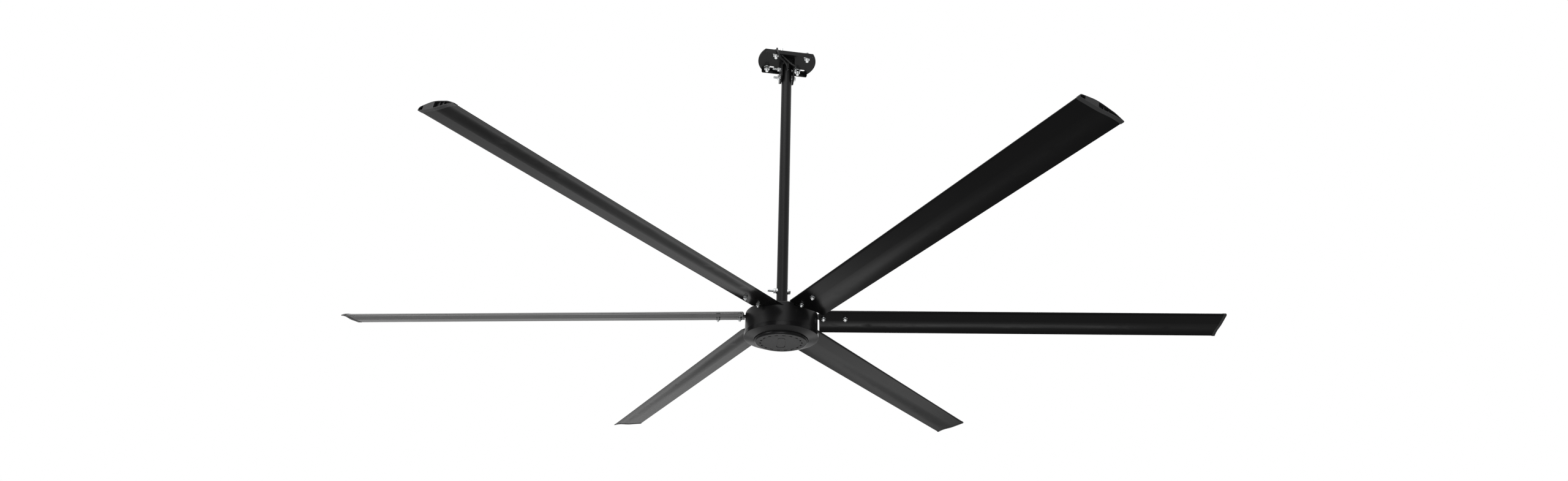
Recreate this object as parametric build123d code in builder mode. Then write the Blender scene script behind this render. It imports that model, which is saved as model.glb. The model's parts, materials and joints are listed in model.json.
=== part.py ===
from build123d import *
import os
from math import atan2, cos, pi, radians, sin, sqrt, tan

os.makedirs("parts", exist_ok=True)

# Six-blade high volume low speed ceiling fan, in millimetres.
# The origin is the centre of the ceiling plate's top face and +Z is up, so the whole fan hangs below z = 0.
# X runs along the cross bolts of the yoke, Y along the plate's two folded flanges' spacing.

# Overall
fan_diameter = 2438.4
blade_count = 6
blade_drop = 889.0  # ceiling face down to the blades' reference plane
first_blade_azimuth = -11.8  # degrees from +X
blade_pitch = 12.0  # leading edge raised
blade_droop = 0.43  # degrees below horizontal, towards the tip
blade_plane = -blade_drop

# Ceiling plate
plate_diameter = 184.0
plate_width = 108.0  # over the two flanges
plate_thickness = 4.0
flange_depth = 16.0  # from the top face
flange_corner_radius = 5.0
bend_radius = 0.875 * plate_thickness
slot_spacing = 100.0  # along X
slot_edge = 17.0  # from a flange's outer face to the slots' centre line
slot_length = 30.0
slot_clearance = 1.0  # slot's width over the stud's diameter
stud_shift = 9.0  # the studs stand this far off their slots' centres
rope_hole_x = -24.0
rope_hole_edge = 10.0  # from the near flange's outer face
rope_hole_clearance = 1.0  # hole's diameter over the terminal's

# Ceiling studs, M10
stud_radius = 5.0
stud_shank_radius = 4.5  # below the plate, at the thread's pitch diameter
stud_above_plate = 12.0
stud_below_nut = 8.0
m10_nut_flats = 16.0
m10_nut_height = 8.4
m10_washer_radius = 10.0
m10_bore_clearance = 0.25
m10_washer_thickness = 2.0

# Yoke
yoke_clearance = 1.125  # between a cheek's inner face and the rod
yoke_thickness = 4.5
yoke_width = 50.0
yoke_shoulder = 75.0  # ceiling face down to where the cheeks start to taper
yoke_tip = 91.0
yoke_tip_radius = 5.0
yoke_bend_radius = 4.0
yoke_bolt_drops = (35.5, 69.0)  # ceiling face down to the upper and lower cross bolt
yoke_bolt_lengths = (70.0, 65.0)

# M8 cross bolts
m8_radius = 4.0
m8_hole_clearance = 0.3
m8_head_flats = 13.0
m8_head_height = 5.3
m8_nut_height = 6.5
m8_washer_radius = 8.0
m8_washer_thickness = 1.6

# Down rod
rod_radius = 15.875
rod_wall = 2.5
rod_top_drop = 20.0  # ceiling face down to the rod's top end
rod_bottom_height = 22.0  # above the blade plane
rod_bolt_height = 83.0
rod_bolt_length = 60.0
rod_saddle_thickness = 1.0  # shaped washer between the round rod and the flat washer, at its thinnest
rod_notch_width = 9.0
rod_notch_depth = 30.0

# Motor shaft, with its heights above the blade plane
shaft_fit = 0.15  # radial clearance in the rod
journal_radius = 12.5
shaft_top = 105.0
shaft_end = 4.5  # below the lower bearing
lead_groove_start = 50.0
lead_clearance = 0.3

# Motor housing
housing_radius = 101.5
housing_wall = 3.5
housing_top = 13.0  # above the blade plane
housing_height = 60.5
housing_edge_radius = 4.5
housing_rim_wall = 7.5
housing_rim_height = 5.0
arm_slot_width = 28.0
arm_slot_corner = 2.0
arm_slot_below = 2.0  # under the arm's pad
arm_slot_above = 1.7  # over the arm's pad

# Bearings, 25 x 52 x 15
bearing_radius = 26.0
bearing_width = 15.0
bearing_ball_radius = 3.9
bearing_ball_count = 9
bearing_ring_wall = 3.6
ball_clearance = 0.05
boss_wall = 6.0
bearing_lip = 6.0  # how far it reaches over the outer ring
bearing_lip_thickness = 2.0

# Stator and rotor ring
rotor_ring_wall = 5.5
rotor_ring_height = 36.5
magnet_thickness = 3.5
magnet_height = 32.0
magnet_count = 28
magnet_gap_degrees = 1.6
air_gap = 0.8
core_height = 26.0
core_bore_radius = 52.0
core_yoke_wall = 8.0
tooth_count = 24
tooth_width = 8.0
tooth_tip_height = 4.0
tooth_tip_gap = 2.4
coil_gap = 1.4  # between neighbouring coils, where they are closest
coil_corner_radius = 2.5
coil_end = 4.0
coil_clearance = 0.3
carrier_hub_wall = 4.5
carrier_web = 6.0
carrier_rim_wall = 6.0
carrier_hole_radius = 8.0
carrier_hole_count = 6
circlip_thickness = 1.2
circlip_depth = 0.6
circlip_height = 3.0  # how far it stands out of the journal
circlip_gap = 5.0
seal_clearance = 0.08  # round the shaft
seal_lift = 0.3  # above the bearing

# Driver board
board_inner_radius = 38.0
board_clearance = 3.0  # from the end shield's wall
board_thickness = 1.6
component_clearance = 0.6  # from the end shield's floor to the tallest component
switch_count = 6
switch_size = (9.0, 10.0, 4.4)  # radial, tangential and high
switch_inset = 12.0  # from the board's outer edge
switch_turn = 15.0  # degrees
capacitor_count = 3
capacitor_radius = 6.0
capacitor_height = 4.8
capacitor_inset = 12.0  # from the board's inner edge
capacitor_turn = 75.0
controller_size = (12.0, 12.0, 1.6)
controller_inset = 14.0
controller_turn = 200.0
terminal_size = (10.0, 22.0, 4.5)
terminal_inset = 10.0
terminal_turn = 20.0
standoff_radius = 3.5
standoff_count = 3
m3_radius = 1.5
m3_head_radius = 2.75
m3_head_height = 1.8
m3_length = 7.0

# End shield, trim ring and cap
shield_thickness = 3.0
shield_wall_inset = 6.0  # inside the housing's rim
shield_depth = 10.5
shield_screw_count = 6
trim_gap = 0.5  # round the housing
trim_wall = 2.0
trim_side_height = 11.0
trim_cone_height = 6.0
trim_opening_radius = 76.0
trim_seat_margin = 7.0  # from the screws' circle to the seat's inner edge
trim_seat_thickness = 2.5
trim_edge_radius = 1.0
trim_screw_inset = 13.0  # from the opening's edge
trim_screw_count = 6
cap_gap = 1.5  # round the cap, in the trim ring's opening
cap_wall = 2.5
cap_height = 11.9
cap_edge_radius = 6.0
cap_line_gap = 1.2  # from the slots to the fine circle
cap_line_width = 0.6
cap_line_depth = 0.5
cap_slot_count = 18
cap_slot_inset = 14.9  # from the cap's outside
cap_slot_width = 3.4
cap_slot_length = 9.0
cap_slot_corner = 0.8
cap_groove_length = 76.0
cap_groove_width = 25.0
cap_groove_line = 2.4
cap_groove_depth = 1.2
cap_groove_azimuth = 95.0  # degrees from the first blade
clip_thickness = 0.8
clip_width = 8.0
clip_margin = 5.0  # inwards from the screw
clip_clearance = 0.2  # from the cap's rim
clip_leaf_depth = 7.0

# Screws
shield_screw_length = 7.5
trim_screw_length = 6.0
m4_radius = 2.0
m4_head_radius = 3.8
m4_head_height = 2.6
m6_radius = 3.0
m6_hole_clearance = 0.2
m6_flats = 10.0
m6_head_height = 4.0
m6_nut_height = 5.0
m6_washer_radius = 6.0
m6_washer_thickness = 1.2

# Blade arms
arm_pad_inset = 8.0  # from the rotor ring's outside
arm_pad_length = 30.0
arm_pad_width = 32.0
arm_pad_thickness = 6.0
arm_pad_corner = 5.0
arm_neck_width = 20.0
arm_neck_thickness = 5.0
arm_bar_width = 22.8
arm_bar_thickness = 6.0
arm_bar_lead = 1.0  # the bar starts this far before the blade's root
arm_bar_end = 17.5  # beyond the outer bolt
arm_screw_insets = (20.0, 6.0)  # from the pad's outer end
arm_screw_length = 11.5
blade_bolt_first = 12.2  # outwards from the blade's root
blade_bolt_spacing = 61.0
blade_bolt_length = 25.0

# Blade section, measured along the chord from the leading edge
blade_root_gap = 3.8  # from the housing to the blade's root
blade_chord = 106.0
pitch_axis_from_nose = 31.5
chord_line_height = 4.5  # above the pitch axis
blade_crown = 11.8  # height of the upper side above the chord line
crown_from_nose = 43.0
shoulder_from_nose = 11.5
shoulder_height = 0.61 * blade_crown
rear_from_tail = 31.5
rear_height = 0.754 * blade_crown
tail_slope = 0.345  # of the upper side where it meets the tail
blade_belly = 2.2  # depth of the flat underside below the chord line
belly_front = 9.0
belly_rear = 43.0
cusp_from_tail = 23.0  # where the underside has risen behind its flat
cusp_height = 1.0
trailing_edge_thickness = 1.0
blade_skin = 1.8
rib_thickness = 1.8
rib_places = (14.2, 44.5, 59.0, 71.5)
nose_chamber_start = 4.0
solid_tail = 17.0
tip_cap_length = 8.5
tip_cap_lip = 0.6  # stands this far proud of the blade all round
tip_pocket_depth = 5.5
tip_rib_depth = 2.5  # of the ribs' edges inside the pockets
tip_pocket_start = 2.0
tip_pocket_from_tail = 8.0
tip_wall = 0.8
tip_plug_length = 24.0
tip_plug_clearance = 0.3

# Cables
supply_cable_diameter = 6.0
safety_rope_diameter = 5.0
rope_terminal_radius = 4.0
rope_neck_radius = 3.6  # inside the plate
eyelet_radius = 8.5
eyelet_thickness = 2.0
eyelet_slope = 9.5  # degrees that its barrel points down
eyelet_flare = 8.0  # degrees that its barrel points outwards
eyelet_barrel_radius = 3.0
eyelet_barrel_offset = 1.8  # of the barrel's axis from the eyelet's inner face
eyelet_barrel_start = 10.0
eyelet_barrel_end = 18.2

# Values worked out from the ones above
blade_radius = fan_diameter / 2
underside = -plate_thickness
m10_bore = stud_radius + m10_bore_clearance
slot_width = 2 * stud_radius + slot_clearance
slot_y = plate_width / 2 - slot_edge
rope_hole_y = rope_hole_edge - plate_width / 2
rope_hole_radius = rope_terminal_radius + rope_hole_clearance / 2
m6_hole_radius = m6_radius + m6_hole_clearance
m8_hole_radius = m8_radius + m8_hole_clearance
yoke_inner = rod_radius + yoke_clearance
yoke_outer = yoke_inner + yoke_thickness
shaft_radius = rod_radius - rod_wall - shaft_fit
upper_bearing_top = housing_top - bearing_lip_thickness
bearing_lip_radius = bearing_radius - bearing_lip
circlip_radius = journal_radius + circlip_height
carrier_hub_radius = journal_radius + carrier_hub_wall
housing_bottom = housing_top - housing_height
housing_rim_inner_radius = housing_radius - housing_rim_wall
rotor_ring_radius = housing_radius - housing_wall
core_yoke_radius = core_bore_radius + core_yoke_wall
coil_inner_radius = core_yoke_radius + coil_clearance
coil_half_width = coil_inner_radius * tan(pi / tooth_count) - coil_gap / 2
shield_wall_radius = housing_rim_inner_radius - shield_wall_inset
shield_screw_radius = housing_radius - housing_rim_wall / 2
shield_floor_bottom = housing_bottom - shield_depth
shield_floor_top = shield_floor_bottom + shield_thickness
shield_flange_bottom = housing_bottom - shield_thickness
trim_radius = housing_radius + trim_gap + trim_wall
trim_side_bottom = housing_bottom - trim_side_height
trim_cone_bottom = trim_side_bottom - trim_cone_height
trim_screw_radius = trim_opening_radius - trim_screw_inset
trim_seat_bottom = shield_floor_bottom - trim_seat_thickness
cap_radius = trim_opening_radius - cap_gap
cap_bottom = trim_seat_bottom - cap_height
cap_slot_middle = cap_radius - cap_slot_inset - cap_slot_width / 2
cap_disc_radius = cap_slot_middle - cap_slot_width / 2 - cap_line_gap
board_outer_radius = shield_wall_radius - shield_thickness - board_clearance
solder_face = shield_floor_top + component_clearance + capacitor_height
board_top = solder_face + board_thickness
blade_root = housing_radius + blade_root_gap
arm_pad_outer_radius = rotor_ring_radius - arm_pad_inset
arm_screw_radii = [arm_pad_outer_radius - inset for inset in arm_screw_insets]
arm_bar_length = arm_bar_lead + blade_bolt_first + blade_bolt_spacing + arm_bar_end
rod_top = -rod_top_drop
rod_bottom = blade_plane + rod_bottom_height
flange_half_length = sqrt((plate_diameter / 2) ** 2 - (plate_width / 2) ** 2)
core_radius = rotor_ring_radius - rotor_ring_wall - magnet_thickness - air_gap
rotor_ring_bottom = housing_bottom + housing_rim_height
rotor_ring_middle = rotor_ring_bottom + rotor_ring_height / 2
housing_ceiling = housing_top - housing_wall
upper_bearing_bottom = upper_bearing_top - bearing_width
lower_bearing_bottom = shield_floor_bottom
lower_bearing_top = lower_bearing_bottom + bearing_width
pad_bottom = housing_ceiling - arm_pad_thickness
arm_slot_low = pad_bottom - arm_slot_below
arm_slot_high = housing_ceiling + arm_slot_above
blade_azimuths = [first_blade_azimuth + 360 / blade_count * i for i in range(blade_count)]
stud_places = [
    (side_x * slot_spacing / 2 - side_y * stud_shift, side_y * slot_y)
    for side_x in (-1, 1)
    for side_y in (-1, 1)
]
arm_bar_start = blade_root - arm_bar_lead
ball_circle = (journal_radius + bearing_radius) / 2
cap_start = blade_radius - tip_cap_length
belly_height = chord_line_height - blade_belly
crown_height = chord_line_height + blade_crown
chamber_floor = belly_height + blade_skin
core_bottom = rotor_ring_middle - core_height / 2
blade_bolt_radii = (
    blade_root + blade_bolt_first,
    blade_root + blade_bolt_first + blade_bolt_spacing,
)
node_names = []


def save(part, name):
    part.label = name
    export_step(part, f"parts/{name}.step")
    node_names.append(name)


def level(height):
    """Plane at a height above the blades' reference plane."""
    return Plane.XY.offset(blade_plane + height)


def polar_points(radius, count, start=0.0):
    angles = [radians(start + 360 / count * i) for i in range(count)]
    return [(radius * cos(a), radius * sin(a)) for a in angles]


def planes_at(points, height):
    return [Plane(origin=(x, y, height)) for x, y in points]


def radial_plane(azimuth, height=0.0):
    """Upright plane through the fan's axis: x outwards along the azimuth, y up, from a height."""
    a = radians(azimuth)
    return Plane(
        origin=(0, 0, blade_plane + height),
        x_dir=(cos(a), sin(a), 0),
        z_dir=(sin(a), -cos(a), 0),
    )


def arm_frame(azimuth):
    """Level frame of an arm: x outwards, y towards the trailing edge, z up."""
    return Location((0, 0, blade_plane)) * Location((0, 0, 0), (0, 0, azimuth))


def blade_frame(azimuth):
    """Frame of a blade: x along the drooping span, y towards the trailing edge, z square to the chord."""
    return (
        arm_frame(azimuth)
        * Location((0, 0, 0), (0, blade_droop, 0))
        * Location((0, 0, 0), (-blade_pitch, 0, 0))
    )


def span_plane(frame, distance):
    """Plane square to a frame's x, at a distance along it: x towards the trailing edge, y up."""
    here = Plane(frame * Location((distance, 0, 0)))
    return Plane(origin=here.origin, x_dir=here.y_dir, z_dir=here.x_dir)


def up_plane(frame, distance, height):
    """Plane square to a frame's z, at a distance along its x and a height."""
    return Plane(frame * Location((distance, 0, height)))


def turned_ring(outer, inner, bottom, top):
    with BuildPart() as ring:
        with BuildSketch(level(bottom)):
            Circle(outer)
            Circle(inner, mode=Mode.SUBTRACT)
        extrude(amount=top - bottom)
    return ring


def discs(planes, radius, height, bore=0.0):
    """One round disc, or washer, on each plane."""
    with BuildPart() as group:
        with BuildSketch(*planes):
            Circle(radius)
            if bore > 0:
                Circle(bore, mode=Mode.SUBTRACT)
        extrude(amount=height)
    return group


def hex_nuts(planes, flats, height, bore):
    with BuildPart() as group:
        with BuildSketch(*planes):
            RegularPolygon(flats / 2, 6, major_radius=False)
            Circle(bore, mode=Mode.SUBTRACT)
        extrude(amount=height)
    return group


def hex_bolts(planes, radius, shank, flats, head):
    """Bolts whose heads stand on the planes and whose shanks run back through them."""
    with BuildPart() as group:
        with BuildSketch(*planes):
            RegularPolygon(flats / 2, 6, major_radius=False)
        extrude(amount=head)
        with BuildSketch(*planes):
            Circle(radius)
        extrude(amount=-shank)
    return group


def round_screws(planes, radius, shank, head_radius, head):
    with BuildPart() as group:
        with BuildSketch(*planes):
            Circle(head_radius)
        extrude(amount=head)
        with BuildSketch(*planes):
            Circle(radius)
        extrude(amount=-shank)
    return group


def cross_plane(x, height, facing):
    """Plane square to X, facing +X or -X, centred on the rod's axis at a height."""
    return Plane(origin=(x, 0, height), x_dir=(0, 1, 0), z_dir=(facing, 0, 0))


def cord_tube(points, diameter):
    """Tube along straight runs joined by arcs as large as the runs allow."""
    corners = [Vector(*p) for p in points]
    radii = []
    for before, here, after in zip(corners, corners[1:], corners[2:]):
        turn = radians((here - before).get_angle(after - here))
        shorter = min((here - before).length, (after - here).length)
        radii.append(0.45 * shorter / tan(turn / 2))
    with BuildPart() as tube:
        with BuildLine() as route:
            FilletPolyline(*points, radius=radii)
        start = corners[0]
        with BuildSketch(Plane(origin=start, z_dir=corners[1] - start)):
            Circle(diameter / 2)
        sweep(path=route.wires()[0])
    length = route.wires()[0].length
    section = pi * diameter**2 / 4
    print("cord radii", [round(r, 1) for r in radii], "length", round(length, 1))
    print("cord volume over section times length", round(tube.part.volume / (section * length), 4))
    return tube


# Ceiling plate: a disc cut to a width, with both straight sides folded down

def make_ceiling_plate():
    with BuildPart() as plate:
        with BuildSketch(Plane.XY.offset(underside)):
            Circle(plate_diameter / 2)
            Rectangle(plate_diameter, plate_width, mode=Mode.INTERSECT)
        extrude(amount=plate_thickness)
        flange_y = plate_width / 2 - plate_thickness / 2
        with BuildSketch(Plane.XY.offset(-flange_depth)):
            with Locations((0, flange_y), (0, -flange_y)):
                Rectangle(2 * flange_half_length, plate_thickness)
        extrude(amount=flange_depth)
        outer_bends = plate.edges().filter_by(Axis.X).group_by(Axis.Z)[-1]
        fillet(outer_bends, bend_radius)
        low_corners = plate.edges().filter_by(Axis.Y).group_by(Axis.Z)[0]
        fillet(low_corners, flange_corner_radius)
        with BuildSketch(Plane.XY):
            with GridLocations(slot_spacing, 2 * slot_y, 2, 2):
                SlotOverall(slot_length, slot_width)
            with Locations((rope_hole_x, rope_hole_y)):
                Circle(rope_hole_radius)
        extrude(amount=-plate_thickness, mode=Mode.SUBTRACT)
    return plate


def make_hanger_yoke():
    half = yoke_width / 2
    with BuildPart() as yoke:
        with BuildSketch(Plane.XY.offset(underside)):
            Rectangle(2 * yoke_outer, yoke_width)
        extrude(amount=-yoke_thickness)
        with BuildSketch(Plane.YZ.offset(-yoke_outer)) as cheek:
            with BuildLine():
                Polyline(
                    (-half, underside),
                    (half, underside),
                    (half, -yoke_shoulder),
                    (0, -yoke_tip),
                    (-half, -yoke_shoulder),
                    close=True,
                )
            make_face()
            fillet(cheek.vertices().group_by(Axis.Y)[0], yoke_tip_radius)
            with Locations(*[(0, -drop) for drop in yoke_bolt_drops]):
                Circle(m8_hole_radius, mode=Mode.SUBTRACT)
        extrude(amount=yoke_thickness)
        mirror(about=Plane.YZ)
        long_edges = yoke.edges().filter_by(Axis.Y)
        top_bends = long_edges.group_by(Axis.Z)[-1]
        fillet(top_bends, yoke_bend_radius)
    return yoke


def make_downrod():
    height = rod_top - rod_bottom
    bolt_heights = [-drop for drop in yoke_bolt_drops] + [blade_plane + rod_bolt_height]
    with BuildPart() as rod:
        with BuildSketch(Plane.XY.offset(rod_bottom)):
            Circle(rod_radius)
            Circle(rod_radius - rod_wall, mode=Mode.SUBTRACT)
        extrude(amount=height)
        with BuildSketch(Plane.YZ):
            with Locations(*[(0, z) for z in bolt_heights]):
                Circle(m8_hole_radius)
        extrude(amount=2 * rod_radius, both=True, mode=Mode.SUBTRACT)
        with BuildSketch(Plane.XZ):
            with Locations((0, rod_top)):
                SlotOverall(rod_notch_depth * 2, rod_notch_width, rotation=90)
        extrude(amount=2 * rod_radius, mode=Mode.SUBTRACT)
    return rod


def make_motor_shaft():
    with BuildPart() as shaft:
        with BuildSketch(level(lower_bearing_bottom - shaft_end)):
            Circle(journal_radius)
        extrude(amount=upper_bearing_top - lower_bearing_bottom + shaft_end)
        with BuildSketch(level(upper_bearing_top)):
            Circle(shaft_radius)
        extrude(amount=shaft_top - upper_bearing_top)
        add(lead_channel, mode=Mode.SUBTRACT)
        with BuildSketch(level(lead_groove_start)):
            with Locations((0, lead_y - shaft_radius / 2)):
                Rectangle(channel_diameter, shaft_radius)
        extrude(amount=shaft_top - lead_groove_start, mode=Mode.SUBTRACT)
        with BuildSketch(Plane.YZ):
            with Locations((0, blade_plane + rod_bolt_height)):
                Circle(m8_hole_radius)
        extrude(amount=2 * shaft_radius, both=True, mode=Mode.SUBTRACT)
        with BuildSketch(level(lower_bearing_bottom)):
            Circle(circlip_radius)
            Circle(journal_radius - circlip_depth, mode=Mode.SUBTRACT)
        extrude(amount=-circlip_thickness, mode=Mode.SUBTRACT)
    return shaft


def make_stator_core():
    """Laminated ring with teeth pointing outwards, each ending in a wider tip."""
    tooth_end = core_radius - tooth_tip_height / 2
    tooth_start = core_yoke_radius - tooth_tip_height / 2
    with BuildPart() as core:
        with BuildSketch(level(core_bottom)):
            Circle(core_radius)
            Circle(core_radius - tooth_tip_height, mode=Mode.SUBTRACT)
            with PolarLocations(core_radius, tooth_count, 180 / tooth_count):
                Rectangle(3 * tooth_tip_height, tooth_tip_gap, mode=Mode.SUBTRACT)
            Circle(core_yoke_radius)
            with PolarLocations((tooth_start + tooth_end) / 2, tooth_count):
                Rectangle(tooth_end - tooth_start, tooth_width)
            Circle(core_bore_radius, mode=Mode.SUBTRACT)
        extrude(amount=core_height)
    return core


def make_stator_windings():
    """One coil round each tooth, standing out a little above and below the core."""
    outer = sqrt((core_radius - tooth_tip_height) ** 2 - coil_half_width**2) - coil_clearance
    with BuildPart() as coils:
        for i in range(tooth_count):
            with BuildSketch(span_plane(arm_frame(360 / tooth_count * i), coil_inner_radius)):
                with Locations((0, rotor_ring_middle)):
                    RectangleRounded(2 * coil_half_width, core_height + 2 * coil_end, coil_corner_radius)
                    Rectangle(
                        tooth_width + 2 * coil_clearance,
                        core_height + 2 * coil_clearance,
                        mode=Mode.SUBTRACT,
                    )
            extrude(amount=outer - coil_inner_radius)
    return coils


def make_stator_carrier():
    """Hub on the shaft, a web with round holes and a rim inside the core; a channel crosses the hub."""
    hole_circle = (carrier_hub_radius + core_bore_radius - carrier_rim_wall) / 2
    with BuildPart() as carrier:
        with BuildSketch(level(lower_bearing_top)):
            Circle(carrier_hub_radius)
        extrude(amount=upper_bearing_bottom - lower_bearing_top)
        with BuildSketch(level(rotor_ring_middle - carrier_web / 2)):
            Circle(core_bore_radius - carrier_rim_wall / 2)
            with PolarLocations(hole_circle, carrier_hole_count):
                Circle(carrier_hole_radius, mode=Mode.SUBTRACT)
        extrude(amount=carrier_web)
        with BuildSketch(level(core_bottom)):
            Circle(core_bore_radius)
            Circle(core_bore_radius - carrier_rim_wall, mode=Mode.SUBTRACT)
        extrude(amount=core_height)
        with BuildSketch(level(lower_bearing_top)):
            Circle(journal_radius)
        extrude(amount=upper_bearing_bottom - lower_bearing_top, mode=Mode.SUBTRACT)
        with BuildSketch(*planes_at(standoff_points, blade_plane + core_bottom)):
            Circle(m3_radius)
        extrude(amount=m3_length, mode=Mode.SUBTRACT)
        add(lead_channel, mode=Mode.SUBTRACT)
    return carrier


def bearing_rings(outer, inner):
    """The same ring in both bearings."""
    with BuildPart() as rings:
        with BuildSketch(level(upper_bearing_bottom), level(lower_bearing_bottom)):
            Circle(outer)
            Circle(inner, mode=Mode.SUBTRACT)
        extrude(amount=bearing_width)
        for bottom in (upper_bearing_bottom, lower_bearing_bottom):
            with BuildSketch(radial_plane(0, bottom + bearing_width / 2)):
                with Locations((ball_circle, 0)):
                    Circle(bearing_ball_radius + ball_clearance)
            revolve(axis=Axis.Z, mode=Mode.SUBTRACT)
    return rings


def make_bearing_balls():
    with BuildPart() as balls:
        for bottom in (upper_bearing_bottom, lower_bearing_bottom):
            middle = blade_plane + bottom + bearing_width / 2
            with Locations(*[(x, y, middle) for x, y in polar_points(ball_circle, bearing_ball_count)]):
                Sphere(bearing_ball_radius)
    return balls


def make_magnets():
    inner = core_radius + air_gap
    outer = rotor_ring_radius - rotor_ring_wall
    gap = radians(magnet_gap_degrees) * outer
    with BuildPart() as magnets:
        with BuildSketch(level(rotor_ring_middle - magnet_height / 2)):
            Circle(outer)
            Circle(inner, mode=Mode.SUBTRACT)
            with PolarLocations(outer, magnet_count):
                Rectangle(4 * magnet_thickness, gap, mode=Mode.SUBTRACT)
        extrude(amount=magnet_height)
    return magnets


def make_motor_housing():
    """Turned cup, open below, with a bearing boss, a thicker rim and a slot for each arm."""
    boss_radius = bearing_radius + boss_wall
    with BuildPart() as housing:
        with BuildSketch(radial_plane(0)):
            with BuildLine():
                Polyline(
                    (bearing_lip_radius, housing_top),
                    (housing_radius, housing_top),
                    (housing_radius, housing_bottom),
                    (housing_rim_inner_radius, housing_bottom),
                    (housing_rim_inner_radius, rotor_ring_bottom),
                    (rotor_ring_radius, rotor_ring_bottom),
                    (rotor_ring_radius, housing_ceiling),
                    (boss_radius, housing_ceiling),
                    (boss_radius, upper_bearing_bottom),
                    (bearing_radius, upper_bearing_bottom),
                    (bearing_radius, upper_bearing_top),
                    (bearing_lip_radius, upper_bearing_top),
                    close=True,
                )
            make_face()
        revolve(axis=Axis.Z)
        widest_edges = housing.edges().filter_by(GeomType.CIRCLE).group_by(SortBy.RADIUS)[-1]
        fillet(widest_edges.sort_by(Axis.Z)[-1], housing_edge_radius)
        for azimuth in blade_azimuths:
            with BuildSketch(span_plane(arm_frame(azimuth), housing_rim_inner_radius)):
                with Locations((0, (arm_slot_low + arm_slot_high) / 2)):
                    RectangleRounded(arm_slot_width, arm_slot_high - arm_slot_low, arm_slot_corner)
            extrude(amount=housing_radius, mode=Mode.SUBTRACT)
        with BuildSketch(level(housing_top)):
            for azimuth in blade_azimuths:
                with Locations(*[polar_points(r, 1, azimuth)[0] for r in arm_screw_radii]):
                    Circle(m6_hole_radius)
        extrude(amount=-housing_wall, mode=Mode.SUBTRACT)
        with BuildSketch(level(housing_bottom)):
            with PolarLocations(shield_screw_radius, shield_screw_count):
                Circle(m4_radius)
        extrude(amount=housing_rim_height, mode=Mode.SUBTRACT)
    return housing


def make_end_shield():
    """Lower end shield: a dished disc with the lower bearing's boss, screwed to the housing's rim."""
    boss_radius = bearing_radius + boss_wall
    lip_bottom = lower_bearing_bottom - bearing_lip_thickness
    with BuildPart() as shield:
        with BuildSketch(radial_plane(0)):
            with BuildLine():
                Polyline(
                    (bearing_lip_radius, lip_bottom),
                    (boss_radius, lip_bottom),
                    (boss_radius, shield_floor_bottom),
                    (shield_wall_radius, shield_floor_bottom),
                    (shield_wall_radius, shield_flange_bottom),
                    (housing_radius, shield_flange_bottom),
                    (housing_radius, housing_bottom),
                    (shield_wall_radius - shield_thickness, housing_bottom),
                    (shield_wall_radius - shield_thickness, shield_floor_top),
                    (boss_radius, shield_floor_top),
                    (boss_radius, lower_bearing_top),
                    (bearing_radius, lower_bearing_top),
                    (bearing_radius, lower_bearing_bottom),
                    (bearing_lip_radius, lower_bearing_bottom),
                    close=True,
                )
            make_face()
        revolve(axis=Axis.Z)
        with BuildSketch(level(housing_bottom)):
            with PolarLocations(shield_screw_radius, shield_screw_count):
                Circle(m4_radius)
        extrude(amount=-shield_thickness, mode=Mode.SUBTRACT)
        with BuildSketch(level(shield_floor_bottom)):
            with PolarLocations(trim_screw_radius, trim_screw_count):
                Circle(m4_radius)
        extrude(amount=shield_thickness, mode=Mode.SUBTRACT)
    return shield


def make_trim_ring():
    """Lower ring: an upright band, a shallow cone below it and a stepped seat for the cap."""
    cone_slope = atan2(trim_cone_height, trim_radius - trim_opening_radius)
    cone_rise = trim_wall / cos(cone_slope)
    step_inner = trim_opening_radius + trim_wall
    seat_inner = trim_screw_radius - trim_seat_margin
    with BuildPart() as ring:
        with BuildSketch(radial_plane(0)):
            with BuildLine():
                Polyline(
                    (trim_radius, housing_bottom),
                    (trim_radius, trim_side_bottom),
                    (trim_opening_radius, trim_cone_bottom),
                    (trim_opening_radius, trim_seat_bottom),
                    (seat_inner, trim_seat_bottom),
                    (seat_inner, shield_floor_bottom),
                    (step_inner, shield_floor_bottom),
                    (step_inner, trim_cone_bottom + cone_rise),
                    (trim_radius - trim_wall, trim_side_bottom + cone_rise),
                    (trim_radius - trim_wall, housing_bottom),
                    close=True,
                )
            make_face()
        revolve(axis=Axis.Z)
        rims = ring.edges().filter_by(GeomType.CIRCLE).sort_by(SortBy.RADIUS)[-2:]
        fillet(rims, trim_edge_radius)
        with BuildSketch(level(shield_floor_bottom)):
            with PolarLocations(trim_screw_radius, trim_screw_count):
                Circle(m4_radius)
        extrude(amount=-trim_seat_thickness, mode=Mode.SUBTRACT)
    return ring


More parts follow.
